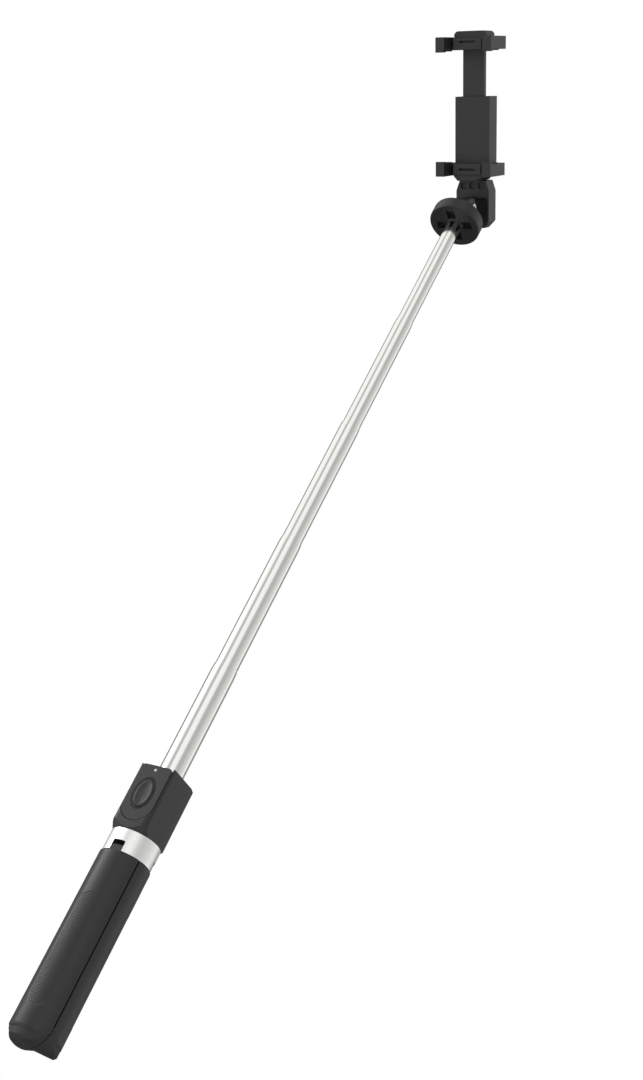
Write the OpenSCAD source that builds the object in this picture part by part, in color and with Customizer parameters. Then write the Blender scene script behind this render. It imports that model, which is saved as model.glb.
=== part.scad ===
// Hand-held selfie stick that unfolds into a three-legged stand, with a
// spring phone clamp and a remote that slides out of the handle.
// The pole's axis is Z. The origin is on that axis, half way along the
// closed handle. The remote faces -Y, and the fold hinges lie along X.

/* [Handle] */
// Length of the closed legs below the collar ring
leg_len = 106; // [90:1:140]
// Height of the metal collar ring
ring_h = 13; // [11:0.5:18]
// Height of the head housing that holds the remote
head_h = 39; // [36:1:60]
// Outer radius of the collar ring
ring_r = 14.4; // [14:0.1:16]
// Thickness of the collar ring's metal
ring_wall = 0.7; // [0.5:0.1:1]
// Outer radius of the closed legs
grip_r = 15; // [14.9:0.1:16]
// Radius of each leg's slightly crowned outer face
face_r = 22; // [18:1:40]
// Distance from the axis to each leg's outer face
face_y = 14.7; // [14.5:0.1:15.5]
// Wall thickness of the moulded shells
wall = 1.8; // [1.4:0.1:2.2]
// Gap between two closed legs
leg_gap = 0.4; // [0.2:0.1:0.8]

/* [Pole] */
// Outer diameter of the fixed tube inside the handle
liner_d = 15.8; // [15.4:0.1:16.4]
// Step in diameter from each tube to the next
tube_step = 1.0; // [0.9:0.1:1.2]
// Wall thickness of the tubes
tube_wall = 0.25; // [0.2:0.01:0.3]
// Length of the first tube that shows
first_show = 75; // [60:1:95]
// Length of each further tube that shows
tube_show = 94.5; // [80:0.5:100]
// Length of every tube that stays inside the one below
tube_hidden = 20; // [16:1:30]
// How far each collapsed tube stands out of the one below
tube_proud = 3; // [2:0.5:5]
// Length of the swaged cone at a tube's upper end
swage_len = 4; // [2:0.5:6]
// Radial clearance of each sliding fit on the pole
slide_fit = 0.05; // [0.02:0.01:0.08]

/* [Leg hinges] */
// Distance from the axis to the leg pins
pin_out = 11.5; // [11.3:0.1:11.8]
// Height of the leg pins above the legs' upper end
pin_up = 2; // [1.8:0.1:2.5]
// Diameter of the leg pins
pin_d = 1.8; // [1.5:0.1:2]
// Length of the leg pins
pin_len = 10; // [9.5:0.1:10.4]
// Width of the notch in the ring for each leg's tab
notch_w = 7.5; // [6.5:0.1:8]
// Height of that notch
notch_h = 6; // [5.5:0.1:7]
// Radius of the rounded end of a leg's tab
tab_r = 2.4; // [2:0.1:2.4]

/* [Feet] */
// Length of the rubber foot along the middle of each leg
foot_len = 5.6; // [4:0.2:9]
// Corner radius of the foot's end, seen from the leg's outer side
foot_round = 13; // [8:0.5:13]
// Corner radius of the moulding's end above the foot
shell_round = 9; // [6:0.5:11]
// Distance from the axis to the foot's outer edge at its end
foot_end_r = 13; // [10:0.5:14]

/* [Remote] */
// Width of the remote
remote_w = 20; // [18:0.5:21]
// Length of the remote
remote_len = 34; // [34:1:38]
// Thickness of the remote
remote_t = 5.6; // [5.4:0.1:5.8]
// Thickness of the remote's walls
remote_wall = 1.2; // [1:0.1:1.4]
// Width of the oval shutter button
button_w = 10; // [9:0.5:11]
// Height of the oval shutter button
button_len = 16.4; // [14:0.2:17]
// Gap round the remote in its pocket
remote_gap = 0.4; // [0.2:0.1:0.5]
// Distance from the axis to the remote's face
remote_face = 14.6; // [14.6:0.1:15]

/* [Top cap] */
// Diameter of the disc on the pole's end
cap_d = 36; // [32:0.5:36]
// Thickness of the disc
cap_t = 10; // [8:0.5:11]
// Height of the tilt axis above the disc's underside
pivot_up = 19; // [18.5:0.1:20]
// Radius of the two ears and of the lug between them
ear_r = 6.6; // [6:0.1:7]
// Thickness of each ear
ear_t = 3.4; // [2.5:0.1:4]
// Thickness of the lug between the ears
lug_t = 5; // [4:0.5:6]
// Thickness of the friction washers beside the lug
washer_t = 0.5; // [0.4:0.1:0.8]
// Diameter of the tilt screw
tilt_d = 3; // [2.5:0.1:4]

/* [Clamp] */
// How far the head leans forward from the pole, in degrees
lean = 54; // [30:1:60]
// Distance behind the tilt axis to the arm's front
arm_back = 14.9; // [14.8:0.1:16]
// Thickness of the arm and of the clamp's spine
arm_t = 12; // [11:0.5:13]
// Width of the arm
arm_w = 25; // [24.5:0.5:27]
// Height of the swivel joint above the tilt axis
swivel_up = 17.8; // [17.5:0.1:20]
// Width of the phone that the clamp is set to
phone_w = 76; // [70:1:85]
// Width of the clamp's jaws
jaw_w = 41.5; // [38:0.5:48]
// Width of each prong of a jaw
prong_w = 6.5; // [5:0.5:8]
// Depth of the space for the phone
phone_t = 12.6; // [11:0.1:15]
// Thickness of a jaw
jaw_t = 8.5; // [8:0.5:10]
// How far a prong's lip stands over the phone
lip_h = 1.5; // [1:0.1:3]
// Width of the clamp's spine
spine_w = 26; // [24:1:30]

/* [Hidden] */
$fn = 96;

black = [0.16, 0.16, 0.165];
dark = [0.08, 0.08, 0.085];
satin = [0.85, 0.86, 0.87];
steel = [0.72, 0.73, 0.74];
gap = 0.3;
e = 0.01;

// Heights along the handle
handle_len = leg_len + ring_h + head_h;
z_foot = -handle_len / 2;
z_ring = z_foot + leg_len;
z_head = z_ring + ring_h;
z_top = z_head + head_h;

// Pole: tube 0 is the fixed one in the handle
function tube_d(i) = liner_d - 0.2 - i * tube_step;
function tube_r(i) = i == 0 ? liner_d / 2 : tube_d(i) / 2;
function bore_r(i) = tube_r(i) - tube_wall;
function show(i) = i == 1 ? first_show : tube_show;
function tube_end(i) = i == 0 ? z_top : tube_end(i - 1) + show(i);
function tube_len(i) = show(i) + tube_hidden;
liner_up = 30;
liner_low = z_foot + liner_up;
tubes = 5;
bush_h = 10;
swage_land = 1.5;
cap_seat = 7;

// Head: the tilt axis is at z_pivot on the pole's axis
z_cap = tube_end(tubes);
z_pivot = z_cap + pivot_up;
ear_in = lug_t / 2 + washer_t + 0.2;
arm_low = -15.6;
arm_high = 10.5;
pocket_half = 10.9;
disc_clear = cap_d / 2 + 0.8;
swivel_n = -arm_back - arm_t / 2;
swivel_d = 4;

// Clamp, along the leaning head's own upward direction
jaw_low = swivel_up + 3.2;
jaw_face = jaw_low + jaw_t;
upper_face = jaw_face + phone_w;
front_n = -arm_back + 0.9;
lip_t = 3;
spine_top = jaw_face + 45;
slider_len = 57;
slider_w = 16;
slider_t = 3.4;
spine_wall = 1.8;
cover_t = 1.6;
post_u = jaw_low + 7;

// A ring or a tube's length with a plain bore
module pipe(r_out, r_in, h) {
  difference() {
    cylinder(r = r_out, h = h);
    translate([0, 0, -1]) cylinder(r = r_in, h = h + 2);
  }
}

// Places its children on one of the three legs: 0 front, 1 right, 2 left
module on_leg(k) { rotate([0, 0, k * 120]) children(); }

// Places its children in the leaning head's frame: X, then forward, then up
module in_head() {
  translate([0, 0, z_pivot]) rotate([lean, 0, 0]) children();
}

// A box in the head's frame, from low to high along X, forward and up
module head_box(x, n, u) {
  translate([x[0], -n[1], u[0]]) cube([x[1] - x[0], n[1] - n[0], u[1] - u[0]]);
}

// ---- Handle ----------------------------------------------------------

// Outline of the closed legs, with a crowned face on each leg
module grip_outline(inset = 0) {
  intersection() {
    circle(r = grip_r - inset);
    crowned_faces(inset);
  }
}

module crowned_faces(inset) {
  intersection_for (k = [0:2])
    rotate(k * 120) translate([0, face_r - face_y]) circle(r = face_r - inset);
}

head_front = remote_face + 0.2;
head_side = 13.2;
head_side_y = 5;
head_back = 14.5;
head_half = 10.8;
head_crown = 44;

// Outline of the head housing: narrow in front, round behind
module head_outline(inset = 0) {
  intersection() {
    circle(r = head_back - inset);
    translate([0, head_crown - head_front]) circle(r = head_crown - inset);
    polygon([
      [-head_half + inset, -head_front - 1], [head_half - inset, -head_front - 1],
      [head_side - inset, head_side_y], [head_side - inset, head_back],
      [-head_side + inset, head_back], [-head_side + inset, head_side_y]
    ]);
  }
}

// Face outline of the remote: square at the top, round at the bottom
module remote_outline(grow = 0) {
  half = remote_w / 2 + grow;
  translate([-half, 0]) square([2 * half, remote_len - remote_w / 2]);
  circle(r = half);
}

remote_low = z_top - remote_len + remote_w / 2;

// Stands a flat outline up in the XZ plane, from y = -from back by depth
module upright(from, depth) {
  translate([0, -from + depth, remote_low]) rotate([90, 0, 0])
    linear_extrude(depth) children();
}

screw_d = 1.6;
screw_spot = [3.8, 11.8];
spigot_r = 11.2;
mouth_r = liner_d / 2 + 0.7;
mouth_h = 3;
spigot_h = 2.4;
spigot_fit = 0.1;
screw_deep = 8;
screw_head_d = 2.6;
screw_head_h = 1.4;
screw_key = 1.2;
screw_sink = 3.4;
pocket_back = remote_t + remote_gap;

module head_shell() {
  color(black) difference() {
    intersection() {
      translate([0, 0, z_head]) linear_extrude(head_h) head_outline();
      // the lower corners run into the collar ring
      translate([0, 0, z_head])
        cylinder(r1 = ring_r + 0.1, r2 = ring_r + 0.1 + chin_spread * head_h, h = head_h);
    }
    translate([0, 0, z_head - 1]) cylinder(r = liner_d / 2 + slide_fit, h = head_h + 2);
    translate([0, 0, z_head - 1]) cylinder(r = spigot_r + spigot_fit, h = 1 + spigot_h + spigot_fit);
    translate([0, 0, z_top - mouth_h]) cylinder(r = mouth_r, h = mouth_h + 1);
    upright(remote_face + 2, pocket_back + 2) remote_outline(remote_gap);
    upright(remote_face + 2, pocket_back + 2)
      translate([-remote_w / 2 - remote_gap, 0]) square([remote_w + 2 * remote_gap, remote_len]);
    // front face below the remote leans back to the ring
    translate([-head_side, -head_front, z_head + chin_h]) rotate([chin_lean, 0, 0])
      translate([0, -chin_h, -2 * chin_h]) cube([2 * head_side, chin_h, 2 * chin_h]);
    at_screws() translate([0, 0, z_head - 1]) cylinder(d = screw_d, h = screw_deep);
  }
}

// Front face below the remote
chin_h = head_h - remote_len;
chin_lean = -12;
chin_spread = 0.7;

module at_screws() {
  for (s = [-1, 1]) translate([s * screw_spot[0], screw_spot[1], 0]) children();
}

module notches(w, h, deep) {
  for (k = [0:2]) on_leg(k)
    translate([-w / 2, -ring_r - 1, z_ring - 1]) cube([w, ring_r + 1 - deep, h + 1]);
}

module collar_ring() {
  color(satin) difference() {
    translate([0, 0, z_ring]) pipe(ring_r, ring_r - ring_wall, ring_h);
    notches(notch_w, notch_h, 0);
  }
}

hub_r = ring_r - ring_wall;
hub_up = 0.2;
slot_floor_r = 8.8;

module leg_hub() {
  color(black) difference() {
    union() {
      translate([0, 0, z_ring + hub_up]) cylinder(r = hub_r, h = ring_h - hub_up);
      translate([0, 0, z_head - e]) cylinder(r = spigot_r, h = spigot_h);
    }
    translate([0, 0, z_ring - 1]) cylinder(r = liner_d / 2, h = ring_h + spigot_h + 2);
    notches(notch_w, notch_h, slot_floor_r);
    for (k = [0:2]) on_leg(k) leg_pin_at(pin_len, pin_d / 2);
    at_screws() translate([0, 0, z_ring - 1]) {
      cylinder(d = screw_d + 0.2, h = ring_h + 2);
      cylinder(d = screw_head_d + 0.2, h = screw_sink);
    }
  }
}

module leg_pin_at(len, r) {
  translate([-len / 2, -pin_out, z_ring + pin_up]) rotate([0, 90, 0]) cylinder(r = r, h = len);
}

module leg_pins() {
  color(steel) for (k = [0:2]) on_leg(k) leg_pin_at(pin_len, pin_d / 2);
}

module hub_screws() {
  key_deep = screw_head_h / 2;
  color(steel) at_screws() translate([0, 0, z_ring + screw_sink - 1 - screw_head_h - 0.1]) {
    translate([0, 0, key_deep]) cylinder(d = screw_d, h = ring_h + screw_deep / 2 + 0.3);
    difference() {
      cylinder(d = screw_head_d, h = screw_head_h);
      translate([0, 0, -1]) cylinder(d = screw_key, h = 1 + key_deep, $fn = 6);
    }
  }
}

module outer_tube() {
  color(steel) swaged_tube(0, liner_low);
}

module mouth_bush() {
  color(dark) translate([0, 0, z_top - mouth_h]) pipe(mouth_r, liner_d / 2, mouth_h);
}

plug_flange = 2;
plug_in = 4;

module base_plug() {
  color(dark) translate([0, 0, liner_low]) {
    translate([0, 0, -plug_flange]) cylinder(r = liner_d / 2, h = plug_flange);
    translate([0, 0, -e]) cylinder(r = bore_r(0), h = plug_in);
  }
}

// ---- Legs ------------------------------------------------------------

liner_gap = 0.4;
leg_in = liner_d / 2 + liner_gap;
cover_r = leg_in + 1.2;
cover_up = 2;
cover_drop = 8;
leg_top = z_ring - 0.25;

// Third of the grip that one leg fills, cut back along both seams
module leg_wedge(side = 0) {
  d = leg_gap / 2 + side;
  reach = 2 * grip_r;
  translate([0, -d / sin(60)])
    polygon([[0, 0], [reach * sin(60), -reach * cos(60)], [reach, -reach],
      [-reach, -reach], [-reach * sin(60), -reach * cos(60)]]);
}

module leg_section(inset = 0) {
  intersection() {
    grip_outline(inset);
    leg_wedge(inset);
  }
}

// Steps that let the leg's shoulder swing out past the ring's lower edge
module shoulder_cut() {
  for (s = [[4.7, 3.75], [6.8, 3.1], [8.8, 2.55]])
    leg_pin_at(2 * s[0], s[1]);
}

panel_w = 12.5;
panel_len = 63.5;
panel_up = 49;
panel_deep = 0.35;
shell_low = z_foot + foot_len;
shell_floor = 6;
shell_ceiling = 10;
tab_drop = 5;

// Outline of a leg's rounded lower end, seen from its outer side
module end_outline(low, corner) {
  half = grip_r * cos(30) + gap;
  translate([-half, low + corner]) square([2 * half, leg_len]);
  translate([-half + corner, low]) square([2 * (half - corner), 2 * corner]);
  for (s = [-1, 1]) translate([s * (half - corner), low + corner]) circle(r = corner);
}

// The same outline as a block that reaches from the axis past the leg's face
module end_block(low, corner) {
  rotate([90, 0, 0]) linear_extrude(2 * grip_r) end_outline(low, corner);
}

module leg_shell(k) {
  color(black) on_leg(k) difference() {
    union() {
      difference() {
        intersection() {
          translate([0, 0, shell_low]) linear_extrude(leg_top - shell_low) leg_section();
          end_block(shell_low, shell_round);
        }
        shoulder_cut();
        translate([0, 0, z_foot]) cylinder(r = cover_r, h = leg_len);
        translate([0, 0, shell_low + shell_floor])
          linear_extrude(leg_top - shell_low - shell_floor - shell_ceiling) difference() {
            leg_section(wall);
            circle(r = cover_r - 1);
          }
      }
      tab_w = notch_w - 0.4;
      leg_pin_at(tab_w, tab_r);
      translate([-tab_w / 2, -pin_out - tab_r, leg_top - tab_drop])
        cube([tab_w, 2 * tab_r, z_ring + pin_up - leg_top + tab_drop]);
    }
    leg_pin_at(notch_w, pin_d / 2 + slide_fit);
    // shallow recess for the grip panel, following the crowned face
    difference() {
      translate([0, -pin_out, z_foot + panel_up]) rotate([90, 0, 0])
        linear_extrude(grip_r) stadium(panel_w, panel_len);
      translate([0, 0, z_foot]) linear_extrude(leg_len) grip_outline(panel_deep);
    }
  }
}

// A slot outline w wide and len long, centred
module stadium(w, len) {
  square([w, len - w], center = true);
  for (s = [-1, 1]) translate([0, s * (len - w) / 2]) circle(d = w);
}

module leg_cover(k) {
  color(dark) on_leg(k) translate([0, 0, shell_low + cover_up])
    linear_extrude(leg_top - shell_low - cover_up - cover_drop) intersection() {
      leg_wedge();
      difference() {
        circle(r = cover_r);
        circle(r = leg_in);
      }
    }
}

// Rubber foot: it fills the leg's section below the moulding's rounded end
module foot(k) {
  color(dark) on_leg(k) difference() {
    intersection() {
      translate([0, 0, z_foot]) linear_extrude(foot_len + shell_round) leg_section();
      end_block(z_foot, foot_round);
      rotate_extrude() polygon([
        [0, z_foot], [foot_end_r, z_foot], [foot_end_r + 1.5, z_foot + 1.5],
        [grip_r - 0.5, z_foot + 5], [grip_r + 1, z_foot + foot_len + 1],
        [grip_r + 1, shell_low + shell_round], [0, shell_low + shell_round]
      ]);
    }
    end_block(shell_low, shell_round);
  }
}

// ---- Pole ------------------------------------------------------------

// A tube whose upper end is swaged down to guide the next one
module swaged_tube(i, low) {
  top = tube_end(i);
  r_out = tube_r(i);
  neck = (i < tubes ? tube_r(i + 1) + slide_fit : bore_r(i));
  cone = (i < tubes ? swage_len - swage_land : 0);
  land = top - swage_land;
  rotate_extrude() polygon(i < tubes ? [
    [bore_r(i), low], [r_out, low], [r_out, land - cone],
    [neck + tube_wall, land], [neck + tube_wall, top], [neck, top],
    [neck, land], [bore_r(i), land - cone]
  ] : [[bore_r(i), low], [r_out, low], [r_out, top + cap_seat], [bore_r(i), top + cap_seat]]);
}

module tube(i) {
  color(steel) swaged_tube(i, tube_end(i) - tube_len(i));
}

module tube_bush(i) {
  color(dark) translate([0, 0, tube_end(i) - tube_len(i)])
    pipe(bore_r(i - 1) - slide_fit, tube_r(i), bush_h);
}

// ---- Top cap and tilt hinge -------------------------------------------

cap_deep = 4;
rib_slot = 6.4;
rib_reach = 13;
rim_low = 0.8;
rim_high = 1.6;
nut_d = 6;
nut_t = 1.9;
nut_sink = 1.4;

module top_cap() {
  color(black) difference() {
    union() {
      translate([0, 0, z_cap]) rotate_extrude() polygon([
        [0, 0], [cap_d / 2 - rim_low, 0], [cap_d / 2, rim_low], [cap_d / 2, cap_t - rim_high],
        [cap_d / 2 - rim_high, cap_t], [0, cap_t]
      ]);
      for (s = [-1, 1]) {
        x = s > 0 ? ear_in : -ear_in - ear_t;
        translate([x, 0, z_pivot]) rotate([0, 90, 0]) cylinder(r = ear_r, h = ear_t);
        translate([x, -ear_r, z_cap + cap_t - 1]) cube([ear_t, 2 * ear_r, pivot_up - cap_t + 1]);
      }
    }
    translate([0, 0, z_cap - 1]) cylinder(r = tube_r(tubes), h = cap_seat + 1);
    translate([0, 0, z_pivot]) rotate([0, 90, 0])
      cylinder(r = tilt_d / 2 + slide_fit, h = 40, center = true);
    for (a = [0, 90]) rotate([0, 0, a]) difference() {
      translate([-rib_reach, -rib_slot / 2, z_cap - 1])
        cube([2 * rib_reach, rib_slot, cap_deep + 1]);
      translate([0, 0, z_cap - 2]) cylinder(r = tube_r(tubes) + 1, h = cap_deep + 4);
    }
    translate([-ear_in - ear_t - 1, 0, z_pivot]) rotate([0, 90, 0])
      cylinder(d = nut_d, h = 1 + nut_sink, $fn = 6);
  }
}

tilt_head_d = 5.6;
tilt_head_h = 1.8;
tilt_key = 2.6;

module tilt_screw() {
  color(steel) translate([ear_in + ear_t, 0, z_pivot]) rotate([0, 90, 0]) difference() {
    union() {
      translate([0, 0, -2 * (ear_in + ear_t) + 0.3])
        cylinder(d = tilt_d, h = 2 * (ear_in + ear_t) - 0.3);
      cylinder(d = tilt_head_d, h = tilt_head_h);
    }
    translate([0, 0, tilt_head_h - 1]) cylinder(d = tilt_key, h = 2, $fn = 6);
  }
}

module tilt_nut() {
  out = nut_t - nut_sink + 0.1;
  color(steel) translate([-ear_in - ear_t - out, 0, z_pivot]) rotate([0, 90, 0]) difference() {
    cylinder(d = nut_d - 0.2, h = nut_t, $fn = 6);
    translate([0, 0, -1]) cylinder(d = tilt_d, h = 4);
  }
}

washer_r = 5;

module friction_washers() {
  color(steel) for (s = [-1, 1])
    translate([s > 0 ? ear_in - washer_t : -ear_in, 0, z_pivot]) rotate([0, 90, 0])
      pipe(washer_r, tilt_d / 2 + slide_fit, washer_t);
}

// ---- Leaning head -------------------------------------------------------

n_back = -arm_back - arm_t;
arm_corner = 5;
neck_half = 10;
pocket_top = 5.4;
core_at = 6.6;
core_w = 4.8;
core_deep = 1.6;
core_u = [11.8, 15.8];
hollow_half = 8;
hollow_deep = 3.6;
hollow_u = [arm_low + 3, 8.6];
swivel_deep = 7;
lid_t = 1.4;

module tilt_arm() {
  color(black) in_head() difference() {
    union() {
      // plate with chamfered lower corners
      translate([0, arm_back + arm_t, 0]) rotate([90, 0, 0]) linear_extrude(arm_t)
        polygon([
          [-arm_w / 2, arm_low + arm_corner], [-arm_w / 2 + arm_corner, arm_low],
          [arm_w / 2 - arm_corner, arm_low], [arm_w / 2, arm_low + arm_corner],
          [arm_w / 2, arm_high], [neck_half, swivel_up - gap],
          [-neck_half, swivel_up - gap], [-arm_w / 2, arm_high]
        ]);
      rotate([0, 90, 0]) cylinder(r = ear_r, h = lug_t, center = true);
      head_box([-lug_t / 2, lug_t / 2], [-arm_back - 1, 0], [-ear_r, ear_r]);
    }
    // pocket that clears the cap's rim when the head stands straight
    head_box([-pocket_half, -lug_t / 2], [-disc_clear, 0], [arm_low - 1, pocket_top]);
    head_box([lug_t / 2, pocket_half], [-disc_clear, 0], [arm_low - 1, pocket_top]);
    head_box([-pocket_half, pocket_half], [-disc_clear, 0], [arm_low - 1, -ear_r - 0.6]);
    rotate([0, 90, 0]) cylinder(r = tilt_d / 2 + slide_fit, h = 20, center = true);
    // three small pockets in the neck
    for (x = [-core_at, 0, core_at])
      head_box([x - core_w / 2, x + core_w / 2], [-arm_back - core_deep, 0], core_u);
    // hollow behind, closed by the cover
    head_box([-hollow_half, hollow_half], [n_back - 1, n_back + hollow_deep], hollow_u);
    translate([0, -swivel_n, swivel_deep]) cylinder(d = swivel_d, h = 20);
    translate([0, -swivel_n, 0])
      head_box([-swivel_d, swivel_d], [-swivel_d, swivel_d], [swivel_deep, swivel_deep + 2]);
  }
}

module arm_cover() {
  color(dark) in_head() head_box([-hollow_half + 0.1, hollow_half - 0.1],
    [n_back, n_back + lid_t], [hollow_u[0] + 0.1, hollow_u[1] - 0.1]);
}

jaw_floor = 3;
swivel_head_d = 7;

module swivel_screw() {
  color(steel) in_head() translate([0, -swivel_n, 0]) {
    translate([0, 0, swivel_deep + 2])
      cylinder(d = swivel_d, h = jaw_low + jaw_floor - swivel_deep - 2);
    translate([0, 0, jaw_low + jaw_floor]) cylinder(d = swivel_head_d, h = 1.6);
  }
}

block_half = 10.5;
block_out = 9;
block_slot = [-6, 6];
slot_n = [front_n + 6, front_n + 10];
jaw_back = n_back + 3.4;

// A jaw in outline from its contact face: bar, two prongs and their lips
module jaw(face, dir) {
  low = dir > 0 ? face - jaw_t : face;
  mid = low + (dir > 0 ? 1 : 0);
  head_box([-jaw_w / 2, jaw_w / 2], [jaw_back, front_n], [low, low + jaw_t]);
  head_box([-block_half, block_half], [front_n - e, front_n + block_out], [mid, mid + jaw_t - 1]);
  for (s = [-1, 1]) {
    x = s > 0 ? jaw_w / 2 - prong_w : -jaw_w / 2;
    head_box([x, x + prong_w], [front_n - e, front_n + phone_t + lip_t], [low, low + jaw_t]);
    head_box([x, x + prong_w], [front_n + phone_t, front_n + phone_t + lip_t],
      dir > 0 ? [low, face + lip_h] : [face - lip_h, low + jaw_t]);
  }
}

spine_hollow = [jaw_low + 6, spine_top - 4];

module clamp_body() {
  color(black) in_head() difference() {
    union() {
      jaw(jaw_face, 1);
      // foot of the clamp, with chamfered corners, standing on the arm
      translate([0, arm_back + arm_t, 0]) rotate([90, 0, 0]) linear_extrude(arm_t + block_out)
        polygon([[-block_half + 3, swivel_up], [block_half - 3, swivel_up],
          [block_half, jaw_low], [block_half, jaw_low + 2],
          [-block_half, jaw_low + 2], [-block_half, jaw_low]]);
      head_box([-spine_w / 2, spine_w / 2], [n_back, front_n], [jaw_face - 1, spine_top]);
    }
    // hollow spine, open at the top for the slider and behind for the cover
    head_box([-spine_w / 2 + spine_wall, spine_w / 2 - spine_wall],
      [n_back - 1, front_n - spine_wall], spine_hollow);
    head_box([-slider_w / 2 - 0.2, slider_w / 2 + 0.2],
      [front_n - spine_wall - slider_t - 0.4, front_n - spine_wall], [spine_top - 5, spine_top + 1]);
    translate([0, -swivel_n, 0]) {
      translate([0, 0, swivel_up - 1]) cylinder(d = swivel_d + 0.1, h = 10);
      translate([0, 0, jaw_low + jaw_floor - 0.1]) cylinder(d = swivel_head_d + 0.6, h = 4);
    }
    // slots across the block between the prongs
    head_box(block_slot, slot_n, [jaw_face - 4.6, jaw_face - 3.2]);
  }
}

cover_screw_u = [jaw_low + 9.5, spine_top - 8];
cover_screw_d = 2.1;
cover_head_d = 3.8;
cover_head_h = 0.7;

module clamp_cover() {
  color(dark) in_head() difference() {
    head_box([-spine_w / 2 + spine_wall + 0.1, spine_w / 2 - spine_wall - 0.1],
      [n_back, n_back + cover_t], [spine_hollow[0] + 0.1, spine_hollow[1] - 0.1]);
    for (u = cover_screw_u) translate([0, -n_back + 1, u])
      rotate([90, 0, 0]) cylinder(d = cover_screw_d, h = 4);
  }
}

module cover_screws() {
  color(steel) in_head() for (u = cover_screw_u)
    translate([0, -n_back, u]) rotate([90, 0, 0]) {
      cylinder(d = cover_screw_d, h = cover_t);
      translate([0, 0, -cover_head_h]) difference() {
        cylinder(d = cover_head_d, h = cover_head_h);
        translate([0, 0, -1]) cylinder(d = 1.3, h = 1.4, $fn = 6);
      }
    }
}

spring_x = 9.6;
spring_r = 1.25;
spring_wall = 0.45;
post_d = 1.6;
spring_n = n_back + 3.6;
slider_n = front_n - spine_wall - 0.2;
slider_low = upper_face - slider_len;

// Two tension springs, each a plain tube of its outer size
module clamp_springs() {
  color(steel) in_head() for (s = [-1, 1])
    translate([s * spring_x, -spring_n, post_u + 0.9])
      pipe(spring_r, spring_r - spring_wall, slider_low - post_u - 0.1);
}

// Fixed posts that the springs hook on
module spring_posts() {
  post_len = front_n - spine_wall - spring_n + 1.2;
  color(steel) in_head() for (s = [-1, 1])
    translate([s * spring_x, -spring_n + 1.2, post_u]) rotate([90, 0, 0])
      cylinder(d = post_d, h = post_len);
}

pad_t = 0.8;
pad_edge = 0.6;

module pads(face, dir) {
  low = dir > 0 ? face : face - pad_t;
  color(dark) in_head() for (s = [-1, 1]) {
    x = (s > 0 ? jaw_w / 2 - prong_w : -jaw_w / 2) + pad_edge;
    head_box([x, x + prong_w - 2 * pad_edge], [front_n + 0.8, front_n + phone_t - 0.8],
      [low, low + pad_t]);
  }
}

tab_half = 12;
tab_up = 3.8;
tab_round = 3;
tab_n = [-24, -10];

module upper_jaw() {
  bar = slider_w / 2 + 2.6;
  color(black) in_head() difference() {
    union() {
      jaw(upper_face, -1);
      // raised tab, rounded at its corners
      translate([0, -tab_n[0], 0]) rotate([90, 0, 0]) linear_extrude(tab_n[1] - tab_n[0]) {
        translate([-tab_half, upper_face + jaw_t - 1]) square([2 * tab_half, tab_round]);
        translate([-tab_half + tab_round, upper_face + jaw_t])
          square([2 * (tab_half - tab_round), tab_up]);
        for (s = [-1, 1])
          translate([s * (tab_half - tab_round), upper_face + jaw_t + tab_up - tab_round])
            circle(r = tab_round);
      }
      head_box([-slider_w / 2, slider_w / 2], [slider_n - slider_t, slider_n],
        [slider_low, upper_face + 1]);
      // cross bar with two studs that the springs hook on
      head_box([-bar, bar], [slider_n - slider_t, slider_n], [slider_low, slider_low + 4]);
      for (s = [-1, 1]) head_box([s * spring_x - 0.8, s * spring_x + 0.8],
        [spring_n - 0.8, slider_n - slider_t + e], [slider_low + 1, slider_low + 2.6]);
    }
    head_box(block_slot, slot_n, [upper_face + 4.4, upper_face + 5.8]);
  }
}

// ---- Remote --------------------------------------------------------------

// Layers of the remote, counted back from its face
case_t = remote_t - remote_wall;
button_proud = 0.3;
button_t = 0.9;
button_travel = 0.5;
board_at = 2.1;
board_t = 0.8;
switch_h = 0.9;
button_z = remote_low + 6.5;
button_fit = 0.25;
lens_d = 1.6;
lens_z = remote_low + 21;
cell_d = 16;
cell_t = 1.6;
cell_at = board_at + board_t + 0.1;
cell_z = remote_low + 1;

// A round pin or hole along Y, from a depth behind the remote's face
module facing(z, deep, d, h) {
  translate([0, -remote_face + deep, z]) rotate([-90, 0, 0]) cylinder(d = d, h = h);
}

// The button's oval drawn out along Y, from a depth behind the remote's face
module button_block(deep, t, grow) {
  translate([0, -remote_face + deep + t, button_z]) rotate([90, 0, 0])
    linear_extrude(t) stadium(button_w + 2 * grow, button_len + 2 * grow);
}

module remote_case() {
  color(black) difference() {
    upright(remote_face, case_t) remote_outline();
    upright(remote_face - remote_wall, case_t) inner_outline(remote_wall);
    button_block(-1, 4, button_fit);
    facing(lens_z, -1, lens_d, 4);
  }
}

// The remote's outline drawn smaller all round
module inner_outline(inset) {
  half = remote_w / 2 - inset;
  translate([-half, 0]) square([2 * half, remote_len - remote_w / 2 - inset]);
  circle(r = half);
}

module remote_back() {
  color(dark) difference() {
    upright(remote_face - case_t, remote_wall) remote_outline();
    facing(cell_z, case_t - 1, cell_d + 0.4, 1.3);
  }
}

module remote_board() {
  color("darkgreen") upright(remote_face - board_at, board_t)
    inner_outline(remote_wall + 0.3);
}

module remote_switch() {
  color(steel) {
    translate([-2, -remote_face + board_at - switch_h + 0.2, button_z - 2])
      cube([4, switch_h - 0.2, 4]);
    facing(button_z, board_at - switch_h + 0.2, 1.8, 0.3);
  }
}

module coin_cell() {
  color(satin) facing(cell_z, cell_at, cell_d, cell_t);
}

module cell_contact() {
  color("goldenrod") translate([-2, -remote_face + board_at + board_t, cell_z + cell_d / 2 + 0.2])
    cube([4, 0.5, 5]);
}

module status_lens() {
  color("white") facing(lens_z, 0, lens_d, remote_wall);
}

module remote_button() {
  color(dark) button_block(-button_proud, button_t, 0);
}

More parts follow.
